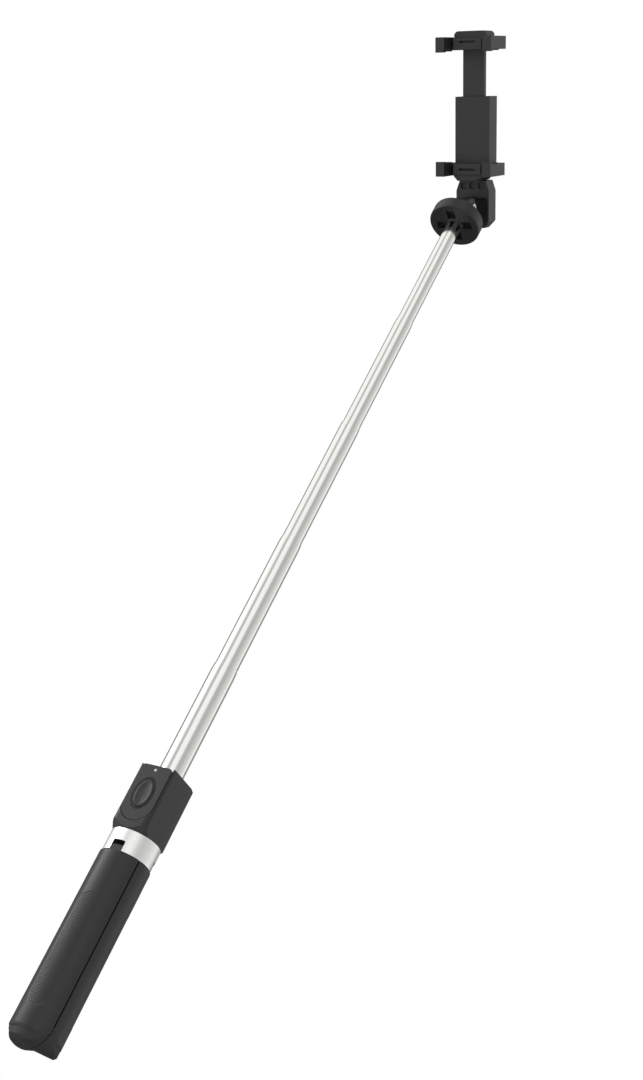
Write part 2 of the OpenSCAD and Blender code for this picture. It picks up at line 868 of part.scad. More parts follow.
head_shell();
collar_ring();
leg_hub();
leg_pins();
hub_screws();
outer_tube();
mouth_bush();
base_plug();
leg_shell(0);  // leg_front
leg_shell(1);  // leg_right
leg_shell(2);  // leg_left
leg_cover(0);  // leg_cover_front
leg_cover(1);  // leg_cover_right
leg_cover(2);  // leg_cover_left
foot(0);  // foot_front
foot(1);  // foot_right
foot(2);  // foot_left
tube(1);  // tube_1
tube(2);  // tube_2
tube(3);  // tube_3
tube(4);  // tube_4
tube(5);  // tube_5
tube_bush(1);  // tube_bush_1
tube_bush(2);  // tube_bush_2
tube_bush(3);  // tube_bush_3
tube_bush(4);  // tube_bush_4
tube_bush(5);  // tube_bush_5
top_cap();
tilt_screw();
tilt_nut();
friction_washers();
tilt_arm();
arm_cover();
swivel_screw();
clamp_body();
clamp_cover();
cover_screws();
clamp_springs();
spring_posts();
pads(jaw_face, 1);  // lower_pads
upper_jaw();
pads(upper_face, -1);  // upper_pads
remote_case();
remote_back();
remote_board();
remote_switch();
coin_cell();
cell_contact();
status_lens();
remote_button();
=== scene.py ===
import math

import bmesh
import bpy
from mathutils import Matrix, Vector


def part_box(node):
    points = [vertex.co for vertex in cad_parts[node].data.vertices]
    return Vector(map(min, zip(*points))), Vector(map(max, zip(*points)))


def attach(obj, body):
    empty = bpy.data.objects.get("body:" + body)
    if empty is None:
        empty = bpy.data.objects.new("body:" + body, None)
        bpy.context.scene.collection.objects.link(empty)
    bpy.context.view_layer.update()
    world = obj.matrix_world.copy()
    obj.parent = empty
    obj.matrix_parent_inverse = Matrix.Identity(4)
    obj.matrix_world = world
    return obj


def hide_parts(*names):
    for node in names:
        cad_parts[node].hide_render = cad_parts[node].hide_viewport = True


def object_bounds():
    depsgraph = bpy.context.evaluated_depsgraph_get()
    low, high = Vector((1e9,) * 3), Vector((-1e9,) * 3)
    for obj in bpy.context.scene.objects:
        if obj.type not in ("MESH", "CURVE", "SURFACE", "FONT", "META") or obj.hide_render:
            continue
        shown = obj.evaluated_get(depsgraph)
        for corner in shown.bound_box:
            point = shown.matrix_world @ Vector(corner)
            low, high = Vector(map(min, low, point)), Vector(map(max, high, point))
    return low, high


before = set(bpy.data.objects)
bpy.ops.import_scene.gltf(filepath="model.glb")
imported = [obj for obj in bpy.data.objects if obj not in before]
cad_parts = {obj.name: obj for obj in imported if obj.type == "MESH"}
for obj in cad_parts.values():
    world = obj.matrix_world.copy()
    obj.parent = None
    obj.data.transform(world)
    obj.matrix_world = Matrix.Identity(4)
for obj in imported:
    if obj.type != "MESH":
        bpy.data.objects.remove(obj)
cad_box = [list(corner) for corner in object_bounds()]
MM = 0.001


# Camera: it looks up along the stick from below the handle, a long arm's
# length away, so the handle is nearest and the clamp is far off.
camera_data = bpy.data.cameras.new("camera")
camera_data.lens = 53.05
camera_data.sensor_width = 36
camera_data.clip_start, camera_data.clip_end = 0.01, 50
camera = bpy.data.objects.new("camera", camera_data)
bpy.context.scene.collection.objects.link(camera)
bpy.context.scene.camera = camera
turn, rise, tilt = math.radians(34.0), math.radians(-30.5), math.radians(26.75)
back = Vector((math.sin(turn) * math.cos(rise), -math.cos(turn) * math.cos(rise), math.sin(rise)))
level = Vector((math.cos(turn), math.sin(turn), 0))
right = level * math.cos(tilt) + back.cross(level) * math.sin(tilt)
upward = back.cross(right)
spot = Vector((0, 0, 264.4 * MM)) + (12.0 * right - 11.5 * upward + 965.6 * back) * MM
camera.matrix_world = Matrix((
    (right.x, upward.x, back.x, spot.x),
    (right.y, upward.y, back.y, spot.y),
    (right.z, upward.z, back.z, spot.z),
    (0, 0, 0, 1),
))


# Studio: an even white surround. Shiny pieces see darker screens in it, which
# draw the long grey streaks down polished metal.
world = bpy.data.worlds.new("studio")
bpy.context.scene.world = world
bpy.context.scene.view_settings.view_transform = "Standard"
world.use_nodes = True
tree = world.node_tree
tree.nodes.clear()
direction = tree.nodes.new("ShaderNodeTexCoord")
around = tree.nodes.new("ShaderNodeTexGradient")
around.gradient_type = "RADIAL"
screens = tree.nodes.new("ShaderNodeValToRGB")
screens.color_ramp.interpolation = "EASE"
for around_at, level in ((0.0, 0.85), (0.02, 1.0), (0.16, 1.0), (0.20, 0.48), (0.235, 0.55), (0.265, 1.0),
                         (0.355, 0.95), (0.39, 0.50), (0.45, 0.48), (0.52, 0.62), (0.60, 0.74), (0.64, 1.0),
                         (0.67, 0.8), (0.70, 0.30), (0.84, 0.16), (0.95, 0.22), (0.98, 0.45), (1.0, 0.85)):
    stops = screens.color_ramp.elements
    stop = stops[0] if around_at == 0.0 else stops[-1] if around_at == 1.0 else stops.new(around_at)
    stop.color = (level, level, level * 0.985, 1)
seen = tree.nodes.new("ShaderNodeBackground")
seen.inputs["Color"].default_value = (1, 1, 1, 1)
mirrored = tree.nodes.new("ShaderNodeBackground")
mirrored.inputs["Strength"].default_value = 1.12
path = tree.nodes.new("ShaderNodeLightPath")
either = tree.nodes.new("ShaderNodeMixShader")
surround = tree.nodes.new("ShaderNodeOutputWorld")
tree.links.new(direction.outputs["Generated"], around.inputs["Vector"])
tree.links.new(around.outputs["Color"], screens.inputs["Fac"])
tree.links.new(screens.outputs["Color"], mirrored.inputs["Color"])
tree.links.new(path.outputs["Is Camera Ray"], either.inputs["Fac"])
tree.links.new(mirrored.outputs[0], either.inputs[1])
tree.links.new(seen.outputs[0], either.inputs[2])
tree.links.new(either.outputs[0], surround.inputs["Surface"])


def softbox(name, place, target, width, power, mirrored):
    """A square area light at place, turned to target, which shiny surfaces mirror or not."""
    lamp = bpy.data.lights.new(name, "AREA")
    lamp.energy = power
    lamp.size = width
    light = bpy.data.objects.new(name, lamp)
    bpy.context.scene.collection.objects.link(light)
    light.location = place
    light.visible_glossy = mirrored
    light.rotation_mode = "QUATERNION"
    light.rotation_quaternion = (Vector(target) - Vector(place)).to_track_quat("-Z", "Y")


softbox("key_light", (-1.25, -0.7, 0.5), (0, 0, 0.1), 0.7, 8.5, True)
softbox("fill_light", (1.2, -0.8, 0.1), (0, 0, 0.2), 0.9, 9, False)
softbox("rim_light", (0.6, 1.2, 0.8), (0, 0, 0.3), 0.8, 10, False)
softbox("low_light", (0.5, -0.8, -0.5), (0, 0, 0.2), 0.6, 4, False)

# Floor: a pale sheet of paper just under the feet. It shows only from above, so the
# low camera looks through it and the studio's light reaches the underside, and
# it fades into the white surround.
bpy.ops.mesh.primitive_plane_add(size=6, location=(0, 0, cad_box[0][2] - 0.5 * MM))
floor = bpy.context.object
floor.name = "floor"
paper = bpy.data.materials.new("floor_paper")
paper.use_nodes = True
tree = paper.node_tree
tree.nodes.clear()
fibre = tree.nodes.new("ShaderNodeTexNoise")
fibre.inputs["Scale"].default_value = 40
tone = tree.nodes.new("ShaderNodeMixRGB")
tone.inputs["Color1"].default_value = (0.80, 0.80, 0.80, 1)
tone.inputs["Color2"].default_value = (0.84, 0.84, 0.835, 1)
sheet = tree.nodes.new("ShaderNodeBsdfPrincipled")
sheet.inputs["Roughness"].default_value = 0.9
clear = tree.nodes.new("ShaderNodeBsdfTransparent")
sides = tree.nodes.new("ShaderNodeNewGeometry")
path = tree.nodes.new("ShaderNodeLightPath")
above = tree.nodes.new("ShaderNodeMath")
above.operation = "SUBTRACT"
above.use_clamp = True
spot = tree.nodes.new("ShaderNodeTexCoord")
closer = tree.nodes.new("ShaderNodeMapping")
closer.inputs["Scale"].default_value = (0.9, 0.9, 0.9)
fading = tree.nodes.new("ShaderNodeTexGradient")
fading.gradient_type = "QUADRATIC_SPHERE"
solid = tree.nodes.new("ShaderNodeMath")
solid.operation = "MULTIPLY"
either = tree.nodes.new("ShaderNodeMixShader")
output = tree.nodes.new("ShaderNodeOutputMaterial")
tree.links.new(fibre.outputs["Fac"], tone.inputs["Fac"])
tree.links.new(tone.outputs["Color"], sheet.inputs["Base Color"])
tree.links.new(path.outputs["Is Camera Ray"], above.inputs[0])
tree.links.new(sides.outputs["Backfacing"], above.inputs[1])
tree.links.new(spot.outputs["Object"], closer.inputs["Vector"])
tree.links.new(closer.outputs["Vector"], fading.inputs["Vector"])
tree.links.new(above.outputs[0], solid.inputs[0])
tree.links.new(fading.outputs["Fac"], solid.inputs[1])
tree.links.new(solid.outputs[0], either.inputs["Fac"])
tree.links.new(clear.outputs[0], either.inputs[1])
tree.links.new(sheet.outputs[0], either.inputs[2])
tree.links.new(either.outputs[0], output.inputs["Surface"])
floor.data.materials.append(paper)


# Head housing: one black moulding with a satin, very finely spark-grained
# surface. The remote drops into its front pocket and it is screwed to the hub.
def node_group(name, inputs, outputs):
    """An empty shader group with float, colour or vector sockets by name."""
    group = bpy.data.node_groups.new(name, "ShaderNodeTree")
    kinds = {"float": "NodeSocketFloat", "colour": "NodeSocketColor", "vector": "NodeSocketVector"}
    for label, kind, start in inputs:
        socket = group.interface.new_socket(label, in_out="INPUT", socket_type=kinds[kind])
        socket.default_value = start
    for label, kind in outputs:
        group.interface.new_socket(label, in_out="OUTPUT", socket_type=kinds[kind])
    return group, group.nodes.new("NodeGroupInput"), group.nodes.new("NodeGroupOutput")


def math_node(tree, kind, first, second):
    """A Math node of two values, each a socket or a number."""
    node = tree.nodes.new("ShaderNodeMath")
    node.operation = kind
    for index, value in enumerate((first, second)):
        if isinstance(value, (int, float)):
            node.inputs[index].default_value = value
        else:
            tree.links.new(value, node.inputs[index])
    return node.outputs[0]


# Spark grain: a fine pitted mould texture, broad handling marks that change the
# gloss a little, and a painted highlight that makes edges and corners paler.
grain_and_highlight, grain_in, grain_out = node_group("spark_grain_and_edge_highlight", (
    ("Colour", "colour", (0.04, 0.04, 0.04, 1)), ("Painted Highlight Colour", "colour", (0.09, 0.09, 0.09, 1)),
    ("Gloss", "float", 0.42), ("Gloss Change", "float", 0.1), ("Grain Size", "float", 0.35),
    ("Depth", "float", 0.2), ("Painted Highlight Strength", "float", 0.4)), (
    ("Colour", "colour"), ("Roughness", "float"), ("Normal", "vector")))
place = grain_and_highlight.nodes.new("ShaderNodeTexCoord")
pits = grain_and_highlight.nodes.new("ShaderNodeTexNoise")
pits.inputs["Detail"].default_value = 3
grain_and_highlight.links.new(place.outputs["Object"], pits.inputs["Vector"])
grain_and_highlight.links.new(math_node(grain_and_highlight, "DIVIDE", 1000.0, grain_in.outputs["Grain Size"]), pits.inputs["Scale"])
marks = grain_and_highlight.nodes.new("ShaderNodeTexNoise")
marks.inputs["Scale"].default_value = 45
marks.inputs["Detail"].default_value = 5
grain_and_highlight.links.new(place.outputs["Object"], marks.inputs["Vector"])
spread = math_node(grain_and_highlight, "MULTIPLY", math_node(grain_and_highlight, "SUBTRACT", marks.outputs["Fac"], 0.5),
                   grain_in.outputs["Gloss Change"])
grain_and_highlight.links.new(math_node(grain_and_highlight, "ADD", grain_in.outputs["Gloss"], spread), grain_out.inputs["Roughness"])
flat = grain_and_highlight.nodes.new("ShaderNodeNewGeometry")
softened = grain_and_highlight.nodes.new("ShaderNodeBevel")
softened.samples = 4
softened.inputs["Radius"].default_value = 0.0004
facing = grain_and_highlight.nodes.new("ShaderNodeVectorMath")
facing.operation = "DOT_PRODUCT"
grain_and_highlight.links.new(softened.outputs["Normal"], facing.inputs[0])
grain_and_highlight.links.new(flat.outputs["Normal"], facing.inputs[1])
edge = grain_and_highlight.nodes.new("ShaderNodeMapRange")
edge.inputs["From Min"].default_value = 0.995
edge.inputs["From Max"].default_value = 0.85
grain_and_highlight.links.new(facing.outputs["Value"], edge.inputs["Value"])
# Painted highlight: edges and corners are painted paler, patchy with the handling marks.
painted_highlight = math_node(grain_and_highlight, "MULTIPLY", math_node(grain_and_highlight, "MULTIPLY", edge.outputs[0], marks.outputs["Fac"]),
                   grain_in.outputs["Painted Highlight Strength"])
tint = grain_and_highlight.nodes.new("ShaderNodeMixRGB")
grain_and_highlight.links.new(painted_highlight, tint.inputs["Fac"])
grain_and_highlight.links.new(grain_in.outputs["Colour"], tint.inputs["Color1"])
grain_and_highlight.links.new(grain_in.outputs["Painted Highlight Colour"], tint.inputs["Color2"])
grain_and_highlight.links.new(tint.outputs["Color"], grain_out.inputs["Colour"])
bump = grain_and_highlight.nodes.new("ShaderNodeBump")
bump.inputs["Distance"].default_value = 0.00006
grain_and_highlight.links.new(grain_in.outputs["Depth"], bump.inputs["Strength"])
grain_and_highlight.links.new(pits.outputs["Fac"], bump.inputs["Height"])
grain_and_highlight.links.new(bump.outputs["Normal"], grain_out.inputs["Normal"])


def grained(name, colour, painted_highlight, gloss, change, size, depth, highlight_strength, specular=0.5):
    """A moulded material with its own colour and gloss, grained and given a painted edge highlight by the
    shared group.
    """
    made = bpy.data.materials.new(name)
    made.use_nodes = True
    nodes, links = made.node_tree.nodes, made.node_tree.links
    shader = nodes["Principled BSDF"]
    effect = nodes.new("ShaderNodeGroup")
    effect.node_tree = grain_and_highlight
    values = {"Colour": (*colour, 1), "Painted Highlight Colour": (*painted_highlight, 1), "Gloss": gloss,
              "Gloss Change": change, "Grain Size": size, "Depth": depth, "Painted Highlight Strength": highlight_strength}
    for label, value in values.items():
        effect.inputs[label].default_value = value
    links.new(effect.outputs["Colour"], shader.inputs["Base Color"])
    links.new(effect.outputs["Roughness"], shader.inputs["Roughness"])
    links.new(effect.outputs["Normal"], shader.inputs["Normal"])
    shader.inputs["Specular IOR Level"].default_value = specular
    return made


# Each moulding's second colour is the paler colour painted on its edges as a highlight.
satin_black = grained("satin_black", (0.013, 0.013, 0.0132), (0.04, 0.04, 0.04),
                      0.40, 0.12, 0.35, 0.35, 0.5, 0.32)
hidden_black = grained("hidden_black", (0.013, 0.013, 0.0135), (0.03, 0.03, 0.03),
                       0.5, 0.1, 0.5, 0.3, 0.3, 0.3)


def link(name, mesh):
    """A new object in the scene from a mesh."""
    piece = bpy.data.objects.new(name, mesh)
    bpy.context.scene.collection.objects.link(piece)
    return piece


def mesh_from(name, vertices, faces):
    """A mesh from points and faces, with its faces turned outwards."""
    mesh = bpy.data.meshes.new(name)
    mesh.from_pydata([tuple(v) for v in vertices], [], faces)
    work = bmesh.new()
    work.from_mesh(mesh)
    bmesh.ops.recalc_face_normals(work, faces=work.faces)
    work.to_mesh(mesh)
    work.free()
    return mesh


def applied(piece):
    """Applies the piece's modifiers."""
    graph = bpy.context.evaluated_depsgraph_get()
    mesh = bpy.data.meshes.new_from_object(piece.evaluated_get(graph))
    piece.modifiers.clear()
    piece.data = mesh
    return piece


def settle(piece, angle=35):
    """Applies the modifiers and shades smooth between sharp edges, with flat faces kept flat."""
    mesh = applied(piece).data
    mesh.shade_smooth()
    mesh.set_sharp_from_angle(angle=math.radians(angle))
    even = piece.modifiers.new("even", "WEIGHTED_NORMAL")
    even.keep_sharp = True
    return applied(piece)


def eased(piece, width, angle=35, segments=3):
    """Rounds the piece's edges that are sharper than the angle, width in mm."""
    bevel = piece.modifiers.new("eased", "BEVEL")
    bevel.width = width * MM
    bevel.segments = segments
    bevel.limit_method = "ANGLE"
    bevel.angle_limit = math.radians(angle)
    bevel.miter_outer = "MITER_ARC"
    return settle(piece)


def cut_away(piece, *tools):
    """Takes each tool's volume out of the piece and deletes the tool."""
    for tool in tools:
        carve = piece.modifiers.new("cut", "BOOLEAN")
        carve.operation = "DIFFERENCE"
        carve.solver = "EXACT"
        carve.object = tool
        applied(piece)
        bpy.data.objects.remove(tool)
    return piece


def arc(x, y, radius, start, end, steps):
    """Points along an arc, angles in degrees."""
    turn = [math.radians(start + (end - start) * i / steps) for i in range(steps + 1)]
    return [(x + radius * math.cos(a), y + radius * math.sin(a)) for a in turn]


def rounded(corners, steps=6):
    """An outline from (x, y, radius) corners, each turned into an arc."""
    outline = []
    count = len(corners)
    for index, (x, y, radius) in enumerate(corners):
        here = Vector((x, y))
        before = (Vector(corners[index - 1][:2]) - here).normalized()
        after = (Vector(corners[(index + 1) % count][:2]) - here).normalized()
        half = before.angle(after) / 2
        if radius <= 0:
            outline.append((x, y))
            continue
        middle = here + (before + after).normalized() * radius / math.sin(half)
        first = here + before * radius / math.tan(half) - middle
        last = here + after * radius / math.tan(half) - middle
        sweep = first.angle_signed(last)
        for step in range(steps + 1):
            turned = first.copy()
            turned.rotate(Matrix.Rotation(-sweep * step / steps, 2))
            outline.append(tuple(middle + turned))
    return outline


def prism(name, outline, low, high, place=None):
    """A solid with the outline in XY from low to high in Z, in mm, then moved by place."""
    count = len(outline)
    points = [Vector((x, y, z)) for z in (low, high) for x, y in outline]
    faces = [[i, (i + 1) % count, count + (i + 1) % count, count + i] for i in range(count)]
    faces += [list(range(count))[::-1], list(range(count, 2 * count))]
    if place is not None:
        points = [place @ p for p in points]
    return link(name, mesh_from(name, [p * MM for p in points], faces))


def turned(name, profile, steps=96, place=None):
    """A solid of revolution about Z from closed (radius, height) points in mm."""
    points, faces, count = [], [], len(profile)
    for step in range(steps):
        a = 2 * math.pi * step / steps
        points += [Vector((r * math.cos(a), r * math.sin(a), z)) for r, z in profile]
        ahead = (step + 1) % steps * count
        here = step * count
        for i in range(count):
            j = (i + 1) % count
            faces.append([here + i, here + j, ahead + j, ahead + i])
    if place is not None:
        points = [place @ p for p in points]
    mesh = mesh_from(name, [p * MM for p in points], faces)
    work = bmesh.new()
    work.from_mesh(mesh)
    bmesh.ops.remove_doubles(work, verts=work.verts, dist=1e-7)
    bmesh.ops.dissolve_degenerate(work, edges=work.edges, dist=1e-7)
    bmesh.ops.recalc_face_normals(work, faces=work.faces)
    work.to_mesh(mesh)
    work.free()
    return settle(link(name, mesh))


def put(piece, material, body, slot, *nodes):
    """Gives a piece its material, the body it rides on and the CAD nodes it stands for. The slot is not
    used.
    """
    piece.data.materials.clear()
    piece.data.materials.append(material)
    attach(piece, body)
    if nodes:
        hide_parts(*nodes)
    return piece


def box_mm(node):
    """A node's lowest and highest corners in mm."""
    low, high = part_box(node)
    return Vector(low) * 1000, Vector(high) * 1000


head_low, head_high = box_mm("head_shell")
remote_low, remote_high = box_mm("remote_case")
liner_radius = box_mm("outer_tube")[1].x
front_y = remote_low.y
half_front, half_back, half_rear = 10.9, head_high.x, 5.5
outline = rounded([(-half_front, front_y - 0.2, 3.0), (half_front, front_y - 0.2, 3.0),
                   (half_back, 5.0, 4.0), (half_back - 1.5, 11.0, 5.0), (half_rear, head_high.y, 5.0),
                   (-half_rear, head_high.y, 5.0), (-half_back + 1.5, 11.0, 5.0), (-half_back, 5.0, 4.0)])
head = prism("head_housing", outline, head_low.z, head_high.z)
chin_lean = Matrix.Rotation(math.radians(-12), 4, "X")
chin = prism("chin_cut", [(-16, -3.4), (16, -3.4), (16, 0), (-16, 0)], -12, 9,
             Matrix.Translation((0, front_y - 0.1, remote_low.z - 0.6)) @ chin_lean
             @ Matrix.Translation((0, 0, -9)))
collar_radius = box_mm("collar_ring")[1].x + 0.1
taper_slope, taper_out = 0.7, 30
taper = turned("taper", [(collar_radius - 0.35, head_low.z - 0.5), (taper_out, head_low.z - 0.5),
                         (taper_out, head_low.z + (taper_out - collar_radius) / taper_slope),
                         (collar_radius, head_low.z)])
crown = eased(cut_away(head, chin, taper), 0.9, 30)


def remote_outline(grow):
    """Outline of the remote in XZ: square-topped, with a round lower end."""
    half = remote_high.x + grow
    low = remote_low.z + remote_high.x
    return [(half, remote_high.z + 8), (-half, remote_high.z + 8)] + arc(0, low, half, 180, 360, 40)


standing = Matrix.Rotation(math.radians(90), 4, "X")
pocket = prism("pocket", remote_outline(0.3), 8.4, 20, standing)
bore = turned("bore", [(0, head_low.z - 5), (liner_radius, head_low.z - 5),
                       (liner_radius, head_high.z + 5), (0, head_high.z + 5)])
head = cut_away(crown, pocket, bore)
eased(head, 0.18, 50, 2)
put(head, satin_black, "handle", "satin_black", "head_shell")


# Remote: a slim two-part moulded case with a large oval shutter button in a
# sunk ring, and a small light window above it. It slides in the head's pocket.
face = prism("remote_face", remote_outline(0), -remote_high.y, -remote_low.y, standing)
top, side, shoulder = remote_high.z - 0.2, remote_high.x, 2.6
trim = [(-20, top - shoulder), (-side, top - shoulder)]
trim += arc(shoulder - side, top - shoulder, shoulder, 180, 90, 10)
trim += arc(side - shoulder, top - shoulder, shoulder, 90, 0, 10)
trim += [(20, top - shoulder), (20, 120), (-20, 120)]
cut_away(face, prism("trim", trim, 0, 20, standing))
button_low, button_high = box_mm("remote_button")
wide, tall = button_high.x, (button_high.z - button_low.z) / 2
button_z = (button_high.z + button_low.z) / 2


def oval(name, profile):
    """An oval solid on the remote's face, from (distance from the button's edge, height) points."""
    points, faces, count, steps = [], [], len(profile), 96
    for step in range(steps):
        a = 2 * math.pi * step / steps
        for beyond, height in profile:
            points.append(Vector(((wide + beyond) * math.cos(a), front_y - height,
                                  button_z + (tall + beyond) * math.sin(a))))
        for i in range(count):
            j = (i + 1) % count
            ahead = (step + 1) % steps * count
            faces.append([step * count + i, step * count + j, ahead + j, ahead + i])
    return link(name, mesh_from(name, [p * MM for p in points], faces))


def filled(piece):
    """Cleans up an oval's mesh and turns its faces outwards."""
    work = bmesh.new()
    work.from_mesh(piece.data)
    bmesh.ops.remove_doubles(work, verts=work.verts, dist=1e-7)
    bmesh.ops.dissolve_degenerate(work, edges=work.edges, dist=1e-7)
    bmesh.ops.recalc_face_normals(work, faces=work.faces)
    work.to_mesh(piece.data)
    work.free()
    return piece


button_fit = 0.2
rim = [((wide + button_fit) * math.cos(a), (tall + button_fit) * math.sin(a))
       for a in (2 * math.pi * i / 96 for i in range(96))]
well = prism("well", rim, -1.4, 2, Matrix.Translation((0, front_y, button_z)) @ standing)
moat = oval("moat", [(0.9, -0.45), (1.5, -0.45), (1.9, 0.5), (0.5, 0.5)])
cut_away(face, well, moat)
eased(face, 0.3, 40, 3)
put(face, satin_black, "remote", "satin_black", "remote_case")
button = oval("shutter_button", [(-wide + 0.01, -0.6), (0, -0.6), (0, 0.1), (-0.1, 0.22), (-0.35, 0.3),
                                 (-1.1, 0.3), (-1.5, 0.2), (-2.6, 0.06), (-wide + 0.01, 0.0)])
settle(filled(button), 40)
put(button, satin_black, "button", "satin_black", "remote_button")


# Collar ring: a thin bright sleeve with a satin turned finish. Three square
# notches with small rounded corners let the legs' tabs swing out.
# Drawn metal: fine streaks along one direction in the tone, the gloss and the
# surface, as drawing or turning leaves them.
drawn, drawn_in, drawn_out = node_group("drawn_metal", (
    ("Colour", "colour", (0.9, 0.9, 0.9, 1)), ("Gloss", "float", 0.2), ("Gloss Change", "float", 0.05),
    ("Streak Size", "float", 3.0), ("Depth", "float", 0.2), ("Along", "vector", (1, 1, 1))), (
    ("Colour", "colour"), ("Roughness", "float"), ("Normal", "vector")))
place = drawn.nodes.new("ShaderNodeTexCoord")
stretch = drawn.nodes.new("ShaderNodeMapping")
streaks = drawn.nodes.new("ShaderNodeTexNoise")
streaks.inputs["Detail"].default_value = 4
drawn.links.new(place.outputs["Object"], stretch.inputs["Vector"])
drawn.links.new(drawn_in.outputs["Along"], stretch.inputs["Scale"])
drawn.links.new(stretch.outputs["Vector"], streaks.inputs["Vector"])
drawn.links.new(math_node(drawn, "DIVIDE", 1000.0, drawn_in.outputs["Streak Size"]), streaks.inputs["Scale"])
spread = math_node(drawn, "MULTIPLY", math_node(drawn, "SUBTRACT", streaks.outputs["Fac"], 0.5),
                   drawn_in.outputs["Gloss Change"])
drawn.links.new(math_node(drawn, "ADD", drawn_in.outputs["Gloss"], spread), drawn_out.inputs["Roughness"])
tint = drawn.nodes.new("ShaderNodeMixRGB")
tint.blend_type = "MULTIPLY"
tint.inputs["Color2"].default_value = (0.9, 0.9, 0.9, 1)
drawn.links.new(streaks.outputs["Fac"], tint.inputs["Fac"])
drawn.links.new(drawn_in.outputs["Colour"], tint.inputs["Color1"])
drawn.links.new(tint.outputs["Color"], drawn_out.inputs["Colour"])
bump = drawn.nodes.new("ShaderNodeBump")
bump.inputs["Distance"].default_value = 0.00003
drawn.links.new(drawn_in.outputs["Depth"], bump.inputs["Strength"])
drawn.links.new(streaks.outputs["Fac"], bump.inputs["Height"])
drawn.links.new(bump.outputs["Normal"], drawn_out.inputs["Normal"])


def metal(name, colour, gloss, change, size, depth, along=(1, 1, 1)):
    """A metal with its own colour and gloss, streaked by the shared group."""
    made = bpy.data.materials.new(name)
    made.use_nodes = True
    nodes, links = made.node_tree.nodes, made.node_tree.links
    shader = nodes["Principled BSDF"]
    shader.inputs["Metallic"].default_value = 1
    effect = nodes.new("ShaderNodeGroup")
    effect.node_tree = drawn
    values = {"Colour": (*colour, 1), "Gloss": gloss, "Gloss Change": change, "Streak Size": size,
              "Depth": depth, "Along": along}
    for label, value in values.items():
        effect.inputs[label].default_value = value
    links.new(effect.outputs["Colour"], shader.inputs["Base Color"])
    links.new(effect.outputs["Roughness"], shader.inputs["Roughness"])
    links.new(effect.outputs["Normal"], shader.inputs["Normal"])
    return made


ring_metal = metal("ring_metal", (0.90, 0.90, 0.90), 0.38, 0.1, 3.3, 0.25, (1, 1, 6))
tube_steel = metal("tube_steel", (0.86, 0.855, 0.84), 0.14, 0.08, 2.0, 0.12, (4, 4, 0.15))
screw_steel = metal("screw_steel", (0.60, 0.60, 0.60), 0.32, 0.12, 1.1, 0.3)
ring_low, ring_high = box_mm("collar_ring")
ring_radius = ring_high.x
notch_half, notch_high = 3.75, ring_low.z + 6
ring_wall, ring_edge = 0.7, 0.15
profile = [(ring_radius - ring_wall, ring_low.z), (ring_radius - ring_edge, ring_low.z),
           (ring_radius, ring_low.z + ring_edge), (ring_radius, ring_high.z - ring_edge),
           (ring_radius - ring_edge, ring_high.z), (ring_radius - ring_wall, ring_high.z)]
ring = turned("collar", profile, 144)
for turn in (0, 120, 240):
    hole = prism("notch", rounded([(notch_half, notch_high, 0.9), (notch_half, ring_low.z - 3, 0),
                                   (-notch_half, ring_low.z - 3, 0), (-notch_half, notch_high, 0.9)]),
                 4, 20, Matrix.Rotation(math.radians(turn), 4, "Z") @ standing)
    cut_away(ring, hole)
settle(ring, 30)
put(ring, ring_metal, "handle", "ring_metal", "collar_ring")


# Legs: three long mouldings that close into the grip. Each has a crowned outer
# face with a long ridged panel, a hinge tab in the collar and a rubber foot.
leg_low = box_mm("leg_front")[0]
foot_low = box_mm("foot_front")[0]
grip_radius, inner_radius = 15.0, 9.5
face_radius, face_out = 22.0, -leg_low.y


def skin(angle):
    """Distance from the axis to the leg's outer surface, angle from its middle in degrees."""
    a = math.radians(angle)
    middle = face_radius - face_out
    crown = -middle * math.cos(a) + math.sqrt(face_radius ** 2 - (middle * math.sin(a)) ** 2)
    return min(grip_radius, crown)


def panel_height(x, z, half, middle, reach):
    """Height in mm of the ridged panel over the leg's skin, 0 outside its stadium outline."""
    beyond = max(0.0, abs(z - middle) - (reach - half))
    inside = half - math.hypot(x, beyond)
    if inside <= 0:
        return 0.0
    wall = min(1.0, inside / 0.35)
    ridge = 0.5 - 0.5 * math.cos(2 * math.pi * (z - middle) / 1.05)
    fade = min(1.0, max(0.0, (inside - 0.35) / 0.5))
    return wall * (0.16 * fade * ridge - 0.22)


def leg_mesh(name, low, high):
    """One leg's outer shell in front of the pole: a wall with an inner skin, closed all round."""
    seam = 59.2
    across = [(-seam + 2 * seam * i / 56) for i in range(57)]
    rows = [low]
    while rows[-1] < high - 0.01:
        ribbed = panel_middle - 33 < rows[-1] < panel_middle + 33
        rows.append(min(high, rows[-1] + (0.21 if ribbed else 0.9)))
    half, reach = 6.25, 31.75
    points = []
    for z in rows:
        near = min(z - low, high - z)
        ease = 0.35 - math.sqrt(max(0.0, 0.35 ** 2 - (0.35 - min(0.35, near)) ** 2))
        for angle in across:
            side = min(1.0, (seam - abs(angle)) / 2.6)
            soft = 0.5 * (1 - math.sqrt(1 - (1 - side) ** 2))
            r = skin(angle) - soft - ease
            x = r * math.sin(math.radians(angle))
            r += panel_height(x, z, half, panel_middle, reach)
            points.append(Vector((r * math.sin(math.radians(angle)), -r * math.cos(math.radians(angle)), z)))
        for angle in reversed(across):
            a = math.radians(angle)
            points.append(Vector((inner_radius * math.sin(a), -inner_radius * math.cos(a), z)))
    wide = 2 * len(across)
    faces = []
    for row in range(len(rows) - 1):
        here, above = row * wide, (row + 1) * wide
        for i in range(wide):
            j = (i + 1) % wide
            faces.append([here + i, here + j, above + j, above + i])
    count = len(across)
    for row, order in ((0, 1), (len(rows) - 1, -1)):
        base = row * wide
        for i in range(count - 1):
            faces.append([base + i, base + i + 1, base + wide - 2 - i, base + wide - 1 - i][::order])
    return mesh_from(name, [p * MM for p in points], faces)


